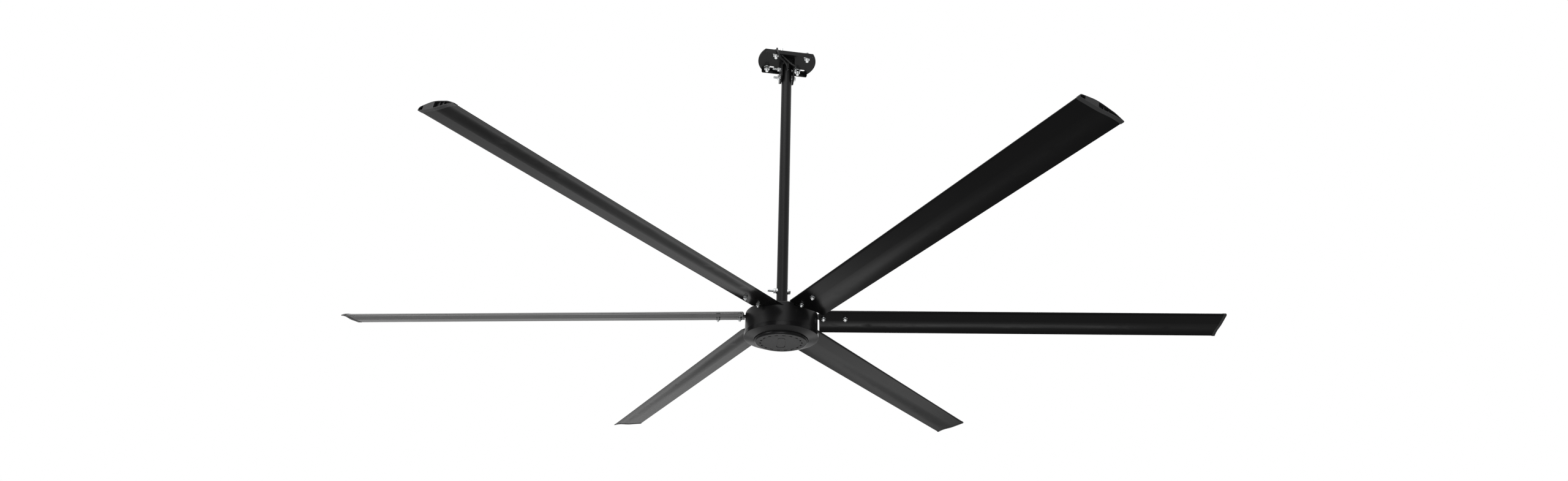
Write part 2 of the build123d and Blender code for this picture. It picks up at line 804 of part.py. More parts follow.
def make_hub_cap():
    """Round cap with a rolled edge, a fine circle, a ring of vent slots and an oblong groove."""
    with BuildPart() as cap:
        with BuildSketch(level(cap_bottom)):
            Circle(cap_radius)
        extrude(amount=cap_height)
        fillet(cap.edges().sort_by(Axis.Z)[0], cap_edge_radius)
        with BuildSketch(level(cap_bottom + cap_wall)):
            Circle(cap_radius - cap_wall)
        extrude(amount=cap_height - cap_wall, mode=Mode.SUBTRACT)
        with BuildSketch(level(cap_bottom)):
            Circle(cap_disc_radius)
            Circle(cap_disc_radius - cap_line_width, mode=Mode.SUBTRACT)
        extrude(amount=cap_line_depth, mode=Mode.SUBTRACT)
        with BuildSketch(level(cap_bottom)):
            with PolarLocations(cap_slot_middle, cap_slot_count, first_blade_azimuth):
                RectangleRounded(cap_slot_width, cap_slot_length, cap_slot_corner)
        extrude(amount=cap_wall, mode=Mode.SUBTRACT)
        turn = first_blade_azimuth + cap_groove_azimuth
        with BuildSketch(level(cap_bottom)):
            SlotOverall(cap_groove_length, cap_groove_width, rotation=turn)
            SlotOverall(
                cap_groove_length - 2 * cap_groove_line,
                cap_groove_width - 2 * cap_groove_line,
                rotation=turn,
                mode=Mode.SUBTRACT,
            )
        extrude(amount=cap_groove_depth, mode=Mode.SUBTRACT)
    return cap


def make_driver_board():
    with BuildPart() as board:
        with BuildSketch(level(solder_face)):
            Circle(board_outer_radius)
            Circle(board_inner_radius, mode=Mode.SUBTRACT)
            with Locations(*standoff_points):
                Circle(m3_radius, mode=Mode.SUBTRACT)
        extrude(amount=board_thickness)
    return board


def make_board_standoffs():
    """Posts between the carrier's rim and the board."""
    with BuildPart() as standoffs:
        with BuildSketch(*planes_at(standoff_points, blade_plane + board_top)):
            Circle(standoff_radius)
            Circle(m3_radius, mode=Mode.SUBTRACT)
        extrude(amount=core_bottom - board_top)
    return standoffs


def make_board_components():
    """Power switches, three low capacitors, a controller and a terminal block under the board."""
    controller_radius = board_inner_radius + controller_inset
    terminal_radius = board_inner_radius + terminal_inset
    blocks = [
        (switch_size, board_outer_radius - switch_inset, switch_count, switch_turn),
        (controller_size, controller_radius, 1, controller_turn),
        (terminal_size, terminal_radius, 1, terminal_turn),
    ]
    with BuildPart() as components:
        for (depth, width, height), radius, count, turn in blocks:
            with BuildSketch(level(solder_face)):
                with PolarLocations(radius, count, turn):
                    Rectangle(depth, width)
            extrude(amount=-height)
        with BuildSketch(level(solder_face)):
            with PolarLocations(board_inner_radius + capacitor_inset, capacitor_count, capacitor_turn):
                Circle(capacitor_radius)
        extrude(amount=-capacitor_height)
    return components


def blade_outline(grow=0.0):
    """Cambered section with a flat belly, a round nose and a thin blunt tail, grown by a lip all round."""
    tail = trailing_edge_thickness / 2 + grow
    end = blade_chord + grow
    belly = -blade_belly - grow
    with BuildSketch() as outline:
        with BuildLine():
            Spline(
                (-grow, 0),
                (shoulder_from_nose - grow / 2, shoulder_height + grow),
                (crown_from_nose, blade_crown + grow),
                (blade_chord - rear_from_tail, rear_height + grow),
                (end, tail),
                tangents=((0.15, 1), (1, -tail_slope)),
            )
            Line((end, tail), (end, -tail))
            Spline(
                (end, -tail),
                (blade_chord - cusp_from_tail, cusp_height - grow),
                (belly_rear, belly),
                tangents=((-1, 0.12), (-1, 0)),
            )
            Line((belly_rear, belly), (belly_front, belly))
            Spline(
                (belly_front, belly),
                (-grow, 0),
                tangents=((-1, 0), (0.15, 1)),
            )
        make_face()
    return outline.sketch


def chamber_spans():
    """Chord ranges between the ribs."""
    starts = [nose_chamber_start] + [place + rib_thickness / 2 for place in rib_places]
    ends = [place - rib_thickness / 2 for place in rib_places] + [blade_chord - solid_tail]
    return list(zip(starts, ends))


def blade_chambers(outline, spans, skin):
    """The hollow inside an outline, inset by the skin above and below, within the given chord ranges."""
    tall = 4 * pitch_axis_from_nose
    with BuildSketch() as hollow:
        for start, end in spans:
            with Locations(((start + end) / 2, 0)):
                Rectangle(end - start, tall)
        add(outline.moved(Location((0, -skin, 0))), mode=Mode.INTERSECT)
        add(outline.moved(Location((0, skin, 0))), mode=Mode.INTERSECT)
    return hollow.sketch


def at_pitch_axis(section):
    """Moves a section drawn from its nose to where it sits on the blade's pitch axis."""
    return section.moved(Location((-pitch_axis_from_nose, chord_line_height, 0)))


section_outline = blade_outline()
section_hollow = blade_chambers(section_outline, chamber_spans(), blade_skin)


def bolt_hole_planes(azimuth, height):
    return [up_plane(blade_frame(azimuth), r, height) for r in blade_bolt_radii]


def all_bolt_planes(height):
    return [plane for azimuth in blade_azimuths for plane in bolt_hole_planes(azimuth, height)]


def make_blade(azimuth):
    frame = blade_frame(azimuth)
    with BuildPart() as blade:
        with BuildSketch(span_plane(frame, blade_root)):
            add(at_pitch_axis(section_outline))
            add(at_pitch_axis(section_hollow), mode=Mode.SUBTRACT)
        extrude(amount=cap_start - blade_root)
        with BuildSketch(*bolt_hole_planes(azimuth, 0)):
            Circle(m6_hole_radius)
        extrude(amount=blade_chord / 4, both=True, mode=Mode.SUBTRACT)
    return blade


def make_tip_cap(azimuth):
    """Moulded cap: a lip round the blade's end, pockets beside a solid middle, and a plug behind it."""
    frame = blade_frame(azimuth)
    nose, middle, *rear = chamber_spans()
    plug = (middle[0] + tip_plug_clearance, middle[1] - tip_plug_clearance)
    nose_pocket = (tip_pocket_start, nose[1])
    tail_pocket = (rear[0][0], blade_chord - tip_pocket_from_tail)
    cells = [nose_pocket, *rear[:-1], (rear[-1][0], tail_pocket[1])]
    with BuildPart() as cap:
        with BuildSketch(span_plane(frame, cap_start)):
            add(at_pitch_axis(blade_outline(tip_cap_lip)))
        extrude(amount=tip_cap_length)
        for pockets, depth in (([nose_pocket, tail_pocket], tip_rib_depth), (cells, tip_pocket_depth)):
            with BuildSketch(span_plane(frame, blade_radius)):
                add(at_pitch_axis(blade_chambers(section_outline, pockets, tip_wall)))
            extrude(amount=-depth, mode=Mode.SUBTRACT)
        with BuildSketch(span_plane(frame, cap_start)):
            plug_skin = blade_skin + tip_plug_clearance
            add(at_pitch_axis(blade_chambers(section_outline, [plug], plug_skin)))
        extrude(amount=-tip_plug_length)
    return cap


def make_blade_arm(azimuth):
    """Steel arm: a level pad under the housing's top, a neck twisted to the blade's pitch, a flat bar."""
    level_frame = arm_frame(azimuth)
    frame = blade_frame(azimuth)
    with BuildPart() as arm:
        with BuildSketch(up_plane(level_frame, arm_pad_outer_radius - arm_pad_length / 2, pad_bottom)):
            Rectangle(arm_pad_length, arm_pad_width)
        extrude(amount=arm_pad_thickness)
        fillet(arm.edges().filter_by(Axis.Z), arm_pad_corner)
        with BuildSketch(span_plane(level_frame, arm_pad_outer_radius)):
            with Locations((0, pad_bottom + arm_neck_thickness / 2)):
                Rectangle(arm_neck_width, arm_neck_thickness)
        with BuildSketch(span_plane(frame, arm_bar_start)):
            with Locations((0, chamber_floor + arm_bar_thickness / 2)):
                Rectangle(arm_neck_width, arm_bar_thickness)
        loft(ruled=True)
        with BuildSketch(span_plane(frame, arm_bar_start)):
            with Locations((0, chamber_floor + arm_bar_thickness / 2)):
                Rectangle(arm_bar_width, arm_bar_thickness)
        extrude(amount=arm_bar_length)
        with BuildSketch(*bolt_hole_planes(azimuth, chamber_floor)):
            Circle(m6_hole_radius)
        extrude(amount=arm_bar_thickness, mode=Mode.SUBTRACT)
        with BuildSketch(*[up_plane(level_frame, r, pad_bottom) for r in arm_screw_radii]):
            Circle(m6_radius)
        extrude(amount=arm_pad_thickness, mode=Mode.SUBTRACT)
    return arm


def make_circlip():
    """Open ring in the shaft's groove, under the lower bearing."""
    with BuildPart() as circlip:
        with BuildSketch(level(lower_bearing_bottom)):
            Circle(circlip_radius)
            Circle(journal_radius - circlip_depth, mode=Mode.SUBTRACT)
            with Locations((journal_radius, 0)):
                Rectangle(journal_radius, circlip_gap, mode=Mode.SUBTRACT)
        extrude(amount=-circlip_thickness)
    return circlip


def make_cap_clips():
    """Spring clips under the trim ring's screws, whose upright leaves grip the cap's rim from inside."""
    reach = cap_radius - cap_wall - clip_clearance
    start = trim_screw_radius - clip_margin
    with BuildPart() as clips:
        for i in range(trim_screw_count):
            frame = arm_frame(360 / trim_screw_count * i)
            with BuildSketch(up_plane(frame, (start + reach) / 2, trim_seat_bottom)):
                Rectangle(reach - start, clip_width)
            extrude(amount=-clip_thickness)
            with BuildSketch(up_plane(frame, reach - clip_thickness / 2, trim_seat_bottom)):
                Rectangle(clip_thickness, clip_width)
            extrude(amount=-clip_leaf_depth)
            with BuildSketch(up_plane(frame, trim_screw_radius, trim_seat_bottom)):
                Circle(m4_radius)
            extrude(amount=-clip_thickness, mode=Mode.SUBTRACT)
    return clips


def make_ceiling_studs():
    """Threaded studs; they are turned down a little below the plate, where the nuts run."""
    with BuildPart() as studs:
        with BuildSketch(*planes_at(stud_places, 0)):
            Circle(stud_radius)
        extrude(amount=stud_above_plate)
        with BuildSketch(*planes_at(stud_places, stud_bottom)):
            Circle(stud_shank_radius)
        extrude(amount=-stud_bottom)
    return studs


def make_rope_terminal():
    """Threaded end of the safety rope, with a neck in the plate's hole, up into an anchor of its own."""
    with BuildPart() as terminal:
        with BuildSketch(Plane.XY.offset(underside)):
            with Locations((rope_hole_x, rope_hole_y)):
                Circle(rope_neck_radius)
        extrude(amount=plate_thickness)
        with BuildSketch(Plane.XY):
            with Locations((rope_hole_x, rope_hole_y)):
                Circle(rope_terminal_radius)
        extrude(amount=stud_above_plate)
    return terminal


def make_rod_saddles():
    """Washers shaped to the round rod, flat on their outer side."""
    with BuildPart() as saddles:
        with BuildSketch(*[cross_plane(0, rod_bolt_z, side) for side in (1, -1)]):
            Circle(m8_washer_radius)
            Circle(m8_hole_radius, mode=Mode.SUBTRACT)
        extrude(amount=saddle_face)
        with BuildSketch(Plane.XY.offset(rod_bolt_z - 2 * m8_washer_radius)):
            Circle(rod_radius)
        extrude(amount=4 * m8_washer_radius, mode=Mode.SUBTRACT)
    return saddles


def make_cross_bolts():
    """Two bolts through the yoke and one through the rod and shaft, all with their heads towards +X."""
    seats = [
        (bolt_seat + eyelet_thickness, yoke_bolt_drops[0], yoke_bolt_lengths[0]),
        (bolt_seat, yoke_bolt_drops[1], yoke_bolt_lengths[1]),
        (saddle_face + m8_washer_thickness, -rod_bolt_z, rod_bolt_length),
    ]
    with BuildPart() as bolts:
        for seat, drop, length in seats:
            with BuildSketch(cross_plane(seat, -drop, 1)):
                RegularPolygon(m8_head_flats / 2, 6, major_radius=False)
            extrude(amount=m8_head_height)
            with BuildSketch(cross_plane(seat, -drop, 1)):
                Circle(m8_radius)
            extrude(amount=-length)
    return bolts


def make_rope_eyelet():
    """Crimped eyelet under the upper cross bolt's head, its barrel pointing forwards and down."""
    with BuildPart() as eyelet:
        with BuildSketch(eyelet_plane(0)):
            Circle(eyelet_radius)
            with Locations((eyelet_barrel_start, 0)):
                Rectangle(eyelet_radius, 2 * eyelet_barrel_radius)
            Circle(m8_hole_radius, mode=Mode.SUBTRACT)
        extrude(amount=eyelet_thickness)
        with BuildSketch(barrel_plane(eyelet_barrel_start)):
            Circle(eyelet_barrel_radius)
        extrude(amount=eyelet_barrel_end - eyelet_barrel_start)
    return eyelet


def yoke_cross_planes(face, side):
    return [cross_plane(side * face, -drop, side) for drop in yoke_bolt_drops]


# Heads, nuts and washers of the cross bolts
rod_bolt_z = blade_plane + rod_bolt_height
saddle_face = rod_radius + rod_saddle_thickness
bolt_seat = yoke_outer + m8_washer_thickness
m8_washer_planes = [
    *yoke_cross_planes(yoke_outer, 1),
    *yoke_cross_planes(yoke_outer, -1),
    cross_plane(saddle_face, rod_bolt_z, 1),
    cross_plane(-saddle_face, rod_bolt_z, -1),
]
m8_nut_planes = [
    *yoke_cross_planes(bolt_seat, -1),
    cross_plane(-saddle_face - m8_washer_thickness, rod_bolt_z, -1),
]

# Planes of the other fasteners
washer_bottom = underside - m10_washer_thickness
stud_bottom = washer_bottom - m10_nut_height - stud_below_nut
standoff_points = polar_points(core_bore_radius - carrier_rim_wall / 2, standoff_count)
arm_screw_planes = [
    up_plane(arm_frame(azimuth), r, housing_top)
    for azimuth in blade_azimuths
    for r in arm_screw_radii
]
shield_screw_points = polar_points(shield_screw_radius, shield_screw_count)
trim_screw_points = polar_points(trim_screw_radius, trim_screw_count)
blade_head_planes = all_bolt_planes(crown_height + m6_washer_thickness)
blade_washer_planes = all_bolt_planes(crown_height) + all_bolt_planes(belly_height - m6_washer_thickness)
blade_nut_planes = all_bolt_planes(belly_height - m6_washer_thickness - m6_nut_height)


def eyelet_plane(lift):
    """Plane against the washer of the upper cross bolt: x along the barrel, from the bolt's axis."""
    slope = radians(eyelet_slope)
    return Plane(
        origin=(bolt_seat + lift, 0, -yoke_bolt_drops[0]),
        x_dir=(0, -cos(slope), -sin(slope)),
        z_dir=(1, 0, 0),
    )


def barrel_plane(distance):
    """Plane square to the eyelet's barrel, at a distance from the bolt's axis."""
    here = eyelet_plane(eyelet_barrel_offset)
    flare = radians(eyelet_flare)
    along = here.x_dir * cos(flare) + here.z_dir * sin(flare)
    start = here.origin + here.x_dir * eyelet_barrel_start
    return Plane(origin=start + along * (distance - eyelet_barrel_start), z_dir=along)


# Routes of the mains lead, the supply cable and the safety rope
lead_y = -9.9
lead_route = [
    (0, -42, blade_plane + board_top),
    (0, -42, blade_plane - 40.5),
    (0, -33, blade_plane - 36),
    (0, -17, blade_plane - 35.5),
    (0, -3, blade_plane - 31),
    (0, 0, blade_plane - 12),
    (0, -1, blade_plane + 14),
    (0, -6, blade_plane + 40),
    (0, lead_y, blade_plane + 62),
    (0, lead_y, -60),
]
cable_route = [
    (0, lead_y, -60),
    (0, lead_y, -44),
    (-1.5, -17, -32),
    (-8.5, -25.5, -25),
    (-18, -33, -20.5),
    (-26, -41.5, -20.8),
    (-31.4, -50, -22),
    (-37, -59.5, -17),
    (-41, -59.5, -8.5),
    (-41.4, -59.5, 0),
]
rope_end = barrel_plane(eyelet_barrel_end).origin
rope_last_run = 9.5
rope_route = [
    (rope_hole_x, rope_hole_y, underside),
    (rope_hole_x, rope_hole_y, -10.5),
    (-14.2, -40, -17.6),
    (-3.5, -36, -25.4),
    (8.4, -32, -32.8),
    (18.5, -31, -38.5),
    tuple(barrel_plane(eyelet_barrel_end + rope_last_run).origin),
    tuple(rope_end),
]
channel_diameter = supply_cable_diameter + 2 * lead_clearance
lead_channel = cord_tube(lead_route, channel_diameter).part

save(make_ceiling_plate().part, "ceiling_plate")
save(make_hanger_yoke().part, "hanger_yoke")
ceiling_washer_planes = planes_at(stud_places, underside)
ceiling_washers = discs(ceiling_washer_planes, m10_washer_radius, -m10_washer_thickness, m10_bore)
save(ceiling_washers.part, "ceiling_washers")
ceiling_nut_planes = planes_at(stud_places, washer_bottom)
ceiling_nuts = hex_nuts(ceiling_nut_planes, m10_nut_flats, -m10_nut_height, stud_shank_radius)
save(ceiling_nuts.part, "ceiling_nuts")
save(make_ceiling_studs().part, "ceiling_studs")
save(make_cross_bolts().part, "cross_bolts")
cross_bolt_nuts = hex_nuts(m8_nut_planes, m8_head_flats, m8_nut_height, m8_radius)
save(cross_bolt_nuts.part, "cross_bolt_nuts")
cross_bolt_washers = discs(m8_washer_planes, m8_washer_radius, m8_washer_thickness, m8_hole_radius)
save(cross_bolt_washers.part, "cross_bolt_washers")
save(make_rod_saddles().part, "rod_saddles")
save(make_downrod().part, "downrod")
save(make_motor_shaft().part, "motor_shaft")
save(make_circlip().part, "shaft_circlip")
save(bearing_rings(journal_radius + bearing_ring_wall, journal_radius).part, "bearing_inner_rings")
save(bearing_rings(bearing_radius, bearing_radius - bearing_ring_wall).part, "bearing_outer_rings")
save(make_bearing_balls().part, "bearing_balls")
save(make_stator_core().part, "stator_core")
save(make_stator_windings().part, "stator_windings")
save(make_stator_carrier().part, "stator_carrier")
save(make_driver_board().part, "driver_board")
save(make_board_components().part, "board_components")
save(make_board_standoffs().part, "board_standoffs")
board_screw_planes = planes_at(standoff_points, blade_plane + solder_face)
board_screws = round_screws(board_screw_planes, m3_radius, -m3_length, m3_head_radius, -m3_head_height)
save(board_screws.part, "board_screws")
save(cord_tube(lead_route, supply_cable_diameter).part, "rod_lead")
save(cord_tube(cable_route, supply_cable_diameter).part, "supply_cable")
save(cord_tube(rope_route, safety_rope_diameter).part, "safety_rope")
save(make_rope_terminal().part, "rope_terminal")
save(make_rope_eyelet().part, "rope_eyelet")

save(make_motor_housing().part, "motor_housing")
seal_inner = shaft_radius + seal_clearance
seal_bottom = upper_bearing_top + seal_lift
save(turned_ring(bearing_lip_radius, seal_inner, seal_bottom, housing_top).part, "dust_seal")
ring_inner = rotor_ring_radius - rotor_ring_wall
ring_top = rotor_ring_bottom + rotor_ring_height
save(turned_ring(rotor_ring_radius, ring_inner, rotor_ring_bottom, ring_top).part, "rotor_ring")
save(make_magnets().part, "magnets")
save(make_end_shield().part, "end_shield")
save(make_trim_ring().part, "trim_ring")
save(make_hub_cap().part, "hub_cap")
save(make_cap_clips().part, "cap_clips")
shield_screw_planes = planes_at(shield_screw_points, blade_plane + shield_flange_bottom)
shield_screws = round_screws(
    shield_screw_planes, m4_radius, -shield_screw_length, m4_head_radius, -m4_head_height
)
save(shield_screws.part, "shield_screws")
trim_screw_planes = planes_at(trim_screw_points, blade_plane + trim_seat_bottom - clip_thickness)
trim_screws = round_screws(
    trim_screw_planes, m4_radius, -trim_screw_length, m4_head_radius, -m4_head_height
)
save(trim_screws.part, "trim_screws")
arm_screws = hex_bolts(arm_screw_planes, m6_radius, arm_screw_length, m6_flats, m6_head_height)
save(arm_screws.part, "arm_screws")
blade_bolts = hex_bolts(blade_head_planes, m6_radius, blade_bolt_length, m6_flats, m6_head_height)
save(blade_bolts.part, "blade_bolts")
save(hex_nuts(blade_nut_planes, m6_flats, m6_nut_height, m6_radius).part, "blade_nuts")
blade_washers = discs(blade_washer_planes, m6_washer_radius, m6_washer_thickness, m6_hole_radius)
save(blade_washers.part, "blade_washers")
for number, azimuth in enumerate(blade_azimuths, 1):
    save(make_blade(azimuth).part, f"blade_{number}")
    save(make_tip_cap(azimuth).part, f"tip_cap_{number}")
    save(make_blade_arm(azimuth).part, f"blade_arm_{number}")
print(len(node_names), "nodes")
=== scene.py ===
import json
from math import cos, radians, sin, tau

import bmesh
import bpy
from mathutils import Matrix, Vector


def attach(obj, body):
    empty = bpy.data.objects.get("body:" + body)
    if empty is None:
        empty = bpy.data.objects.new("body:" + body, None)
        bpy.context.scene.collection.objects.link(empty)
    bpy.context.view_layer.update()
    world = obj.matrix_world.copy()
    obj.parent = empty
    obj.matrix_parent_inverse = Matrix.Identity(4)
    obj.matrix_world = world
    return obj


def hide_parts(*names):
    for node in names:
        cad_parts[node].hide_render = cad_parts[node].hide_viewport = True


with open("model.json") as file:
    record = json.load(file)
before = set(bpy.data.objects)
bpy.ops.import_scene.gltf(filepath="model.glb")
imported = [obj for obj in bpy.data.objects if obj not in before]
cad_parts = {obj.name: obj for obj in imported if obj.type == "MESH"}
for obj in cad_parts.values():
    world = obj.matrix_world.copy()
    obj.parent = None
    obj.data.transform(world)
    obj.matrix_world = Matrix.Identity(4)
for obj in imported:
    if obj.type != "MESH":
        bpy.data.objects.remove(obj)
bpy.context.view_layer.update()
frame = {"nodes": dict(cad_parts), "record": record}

nodes = frame["nodes"]
scene = bpy.context.scene
scene.view_settings.view_transform = "Standard"
mm = 0.001
bladePlane = -889 * mm  # height of the blades' reference plane
bladeAzimuths = [-11.8 + 60 * i for i in range(6)]  # degrees from +X to each blade


# Camera, fitted to the blade tips, the hub and the rod
cameraSet = {
    "place": (-0.38972, -2.50667, -1.90548),
    "yaw": 9.46,  # degrees to the right of +Y
    "pitch": 26.452,  # degrees upwards
    "roll": 0.927,
    "focal": 1584.902,  # pixels, for an image 2560 wide
    "imageWidth": 2560,
    "imageHeight": 785,
    "centreX": 1294.064,  # where the lens axis meets the image
    "centreY": 392.503,
}


def makeCamera(s):
    yaw, pitch, roll = radians(s["yaw"]), radians(s["pitch"]), radians(s["roll"])
    ahead = Vector((sin(yaw) * cos(pitch), cos(yaw) * cos(pitch), sin(pitch)))
    level = Vector((cos(yaw), -sin(yaw), 0))
    upright = level.cross(ahead)
    right = level * cos(roll) + upright * sin(roll)
    up = upright * cos(roll) - level * sin(roll)
    camera = bpy.data.objects.new("camera", bpy.data.cameras.new("camera"))
    scene.collection.objects.link(camera)
    axes = Matrix((right, up, -ahead)).transposed()
    camera.matrix_world = Matrix.Translation(s["place"]) @ axes.to_4x4()
    camera.data.sensor_width = 36
    camera.data.lens = s["focal"] * 36 / s["imageWidth"]
    camera.data.shift_x = (s["imageWidth"] / 2 - s["centreX"]) / s["imageWidth"]
    camera.data.shift_y = (s["centreY"] - s["imageHeight"] / 2) / s["imageWidth"]
    camera.data.clip_start = 0.05
    camera.data.clip_end = 60
    scene.camera = camera


makeCamera(cameraSet)
print("camera made")


# Node trees: a Socket wraps a node's output, and + - * / and comparisons on it add Math nodes
class Socket:
    def __init__(self, tree, link):
        self.tree = tree
        self.link = link

    def maths(self, operation, *values):
        return self.tree.node("ShaderNodeMath", {"operation": operation}, list(values))[0]

    def __add__(self, other):
        return self.maths("ADD", self, other)

    def __radd__(self, other):
        return self.maths("ADD", other, self)

    def __sub__(self, other):
        return self.maths("SUBTRACT", self, other)

    def __rsub__(self, other):
        return self.maths("SUBTRACT", other, self)

    def __mul__(self, other):
        return self.maths("MULTIPLY", self, other)

    def __rmul__(self, other):
        return self.maths("MULTIPLY", other, self)

    def __truediv__(self, other):
        return self.maths("DIVIDE", self, other)

    def __rtruediv__(self, other):
        return self.maths("DIVIDE", other, self)

    def __neg__(self):
        return self.maths("MULTIPLY", self, -1)

    def __gt__(self, other):
        return self.maths("GREATER_THAN", self, other)

    def __lt__(self, other):
        return self.maths("LESS_THAN", self, other)

    def __abs__(self):
        return self.maths("ABSOLUTE", self)

    def least(self, other):
        return self.maths("MINIMUM", self, other)

    def most(self, other):
        return self.maths("MAXIMUM", self, other)

    def of(self, operation):
        return self.maths(operation, self)


class Tree:
    def __init__(self, tree):
        self.tree = tree

    def node(self, kind, settings=None, inputs=None):
        made = self.tree.nodes.new(kind)
        for key, value in (settings or {}).items():
            if key == "choices":  # how many an Index Switch has
                while len(made.index_switch_items) < value:
                    made.index_switch_items.new()
            else:
                setattr(made, key, value)
        pairs = inputs.items() if isinstance(inputs, dict) else enumerate(inputs or [])
        for key, value in pairs:
            if isinstance(value, Socket):
                self.tree.links.new(value.link, made.inputs[key])
            else:
                made.inputs[key].default_value = value
        return [Socket(self, out) for out in made.outputs]

    def point(self, x, y, z):
        return self.node("ShaderNodeCombineXYZ", None, [x, y, z])[0]

    def apart(self, vector):
        return self.node("ShaderNodeSeparateXYZ", None, [vector])


class Finish(Tree):
    def __init__(self, name):
        self.material = bpy.data.materials.new(name)
        self.material.use_nodes = True
        super().__init__(self.material.node_tree)
        self.shader = self.tree.nodes["Principled BSDF"]

    def constants(self, **values):
        for key, value in values.items():
            self.shader.inputs[key.replace("_", " ")].default_value = value

    def feed(self, **values):
        for key, value in values.items():
            self.tree.links.new(value.link, self.shader.inputs[key.replace("_", " ")])

    def place(self, turn=0, stretch=(1, 1, 1)):  # Object coordinates, turned about Z and scaled
        here = self.node("ShaderNodeTexCoord")[3]  # Object
        turned = self.node("ShaderNodeMapping", None, {"Vector": here, "Rotation": (0, 0, -turn)})[0]
        return self.node("ShaderNodeMapping", None, {"Vector": turned, "Scale": stretch})[0]

    def noise(self, scale, detail=2.0, point=None):
        return self.node(
            "ShaderNodeTexNoise", None, {"Vector": point or self.place(), "Scale": scale, "Detail": detail}
        )[0]

    def blend(self, factor, first, second):  # the Mix node's colour sockets
        return self.node("ShaderNodeMix", {"data_type": "RGBA"}, {0: factor, 6: first, 7: second})[2]

    def bump(self, height, strength, distance):
        inputs = {"Strength": strength, "Distance": distance, "Height": height}
        return self.node("ShaderNodeBump", None, inputs)[0]


def tone(value, tint=(1, 1, 1)):
    return (value * tint[0], value * tint[1], value * tint[2], 1)


# Black coats: a fine orange peel, soft patches and a few specks of dust
coats = {
    "black_paint": {"level": 0.006, "roughness": 0.34, "ior": 1.23, "peel": 900, "depth": 0.00006},
    "black_trim": {"level": 0.006, "roughness": 0.22, "ior": 1.2, "peel": 1100, "depth": 0.00003},
    "black_arm": {"level": 0.006, "roughness": 0.4, "ior": 1.3, "peel": 900, "depth": 0.00006},
    "tip_plastic": {"level": 0.012, "roughness": 0.42, "ior": 1.32, "peel": 2400, "depth": 0.00004},
    "board_green": {
        "level": 0.05, "roughness": 0.4, "ior": 1.45, "peel": 1500, "depth": 0.00002,
        "tint": (0.3, 1.6, 0.6),
    },
    "component_black": {"level": 0.02, "roughness": 0.5, "ior": 1.45, "peel": 2400, "depth": 0.00003},
    "cable_sheath": {"level": 0.015, "roughness": 0.42, "ior": 1.45, "peel": 1300, "depth": 0.00004},
    "rope_sheath": {"level": 0.015, "roughness": 0.3, "ior": 1.45, "peel": 700, "depth": 0.00005},
    "seal_rubber": {"level": 0.02, "roughness": 0.6, "ior": 1.45, "peel": 1800, "depth": 0.00004},
}


def blackCoat(name, s):
    f = Finish(name)
    tint = s.get("tint", (1, 1, 1.04))
    patches = f.noise(9.0)
    peel = f.noise(s["peel"])
    specks = (f.noise(420.0) > 0.76) * 0.5
    coat = f.blend(patches, tone(s["level"] * 0.8, tint), tone(s["level"] * 1.25, tint))
    f.feed(Base_Color=f.blend(specks, coat, tone(s["level"] * 4 + 0.01)))
    f.feed(Roughness=patches * 0.08 + peel * 0.06 + specks * 0.2 + (s["roughness"] - 0.07))
    f.feed(Normal=f.bump(peel, 0.35, s["depth"]))
    f.constants(IOR=s["ior"])
    return f.material


# Blade coat: thin and even on the extrusion, whose fine die lines run along the blade
bladeCoat = {
    "level": 0.0025,
    "roughness": 0.2,
    "ior": 1.145,
    "peel": 1300,
    "lines": (2, 700, 700),  # how fine they are along and across the blade
    "lineDepth": 0.00001,
}


def bladeFinish(azimuth, s):
    f = Finish(f"blade coat {azimuth:.0f}")
    along = f.place(radians(azimuth), s["lines"])
    lines = f.noise(1.0, point=along)
    patches = f.noise(5.0)
    peel = f.noise(s["peel"])
    f.feed(Base_Color=f.blend(patches, tone(s["level"] * 0.8), tone(s["level"] * 1.3, (1, 1, 1.04))))
    f.feed(Roughness=patches * 0.05 + lines * 0.06 + (s["roughness"] - 0.055))
    f.feed(Normal=f.bump(peel * 0.5 + lines, 0.3, s["lineDepth"]))
    f.constants(IOR=s["ior"])
    return f.material


# Bare and plated metals: faint spangle, fine grain and a few scratches
metals = {
    "zinc": {"level": 0.78, "roughness": 0.24, "tint": (0.97, 1, 1.03), "grain": 1500, "scale": 140},
    "bare_steel": {"level": 0.5, "roughness": 0.3, "tint": (1, 1, 1.02), "grain": 1800, "scale": 60},
    "core_steel": {"level": 0.3, "roughness": 0.4, "tint": (0.95, 1, 1.08), "grain": 2400, "scale": 60},
    "copper": {"level": 0.7, "roughness": 0.3, "tint": (1, 0.52, 0.3), "grain": 2600, "scale": 90},
    "magnet": {"level": 0.5, "roughness": 0.25, "tint": (1, 1, 0.97), "grain": 1800, "scale": 90},
    "cast_aluminium": {"level": 0.55, "roughness": 0.45, "tint": (1, 1, 1.02), "grain": 700, "scale": 40},
}


def metalFinish(name, s):
    f = Finish(name)
    spangle = f.noise(s["scale"], 3.0)
    grain = f.noise(s["grain"])
    scratches = (f.noise(1.0, point=f.place(0.6, (60, 3000, 60))) > 0.68) * 0.6
    metal = f.blend(spangle, tone(s["level"] * 0.78, (1, 1, 0.97)), tone(s["level"], s["tint"]))
    f.feed(Base_Color=f.blend(scratches, metal, tone(s["level"] * 0.7, s["tint"])))
    f.feed(Roughness=spangle * 0.16 + grain * 0.08 + scratches * 0.1 + (s["roughness"] - 0.1))
    f.feed(Normal=f.bump(grain - scratches * 0.5, 0.2, 0.00003))
    f.constants(Metallic=1.0)
    return f.material


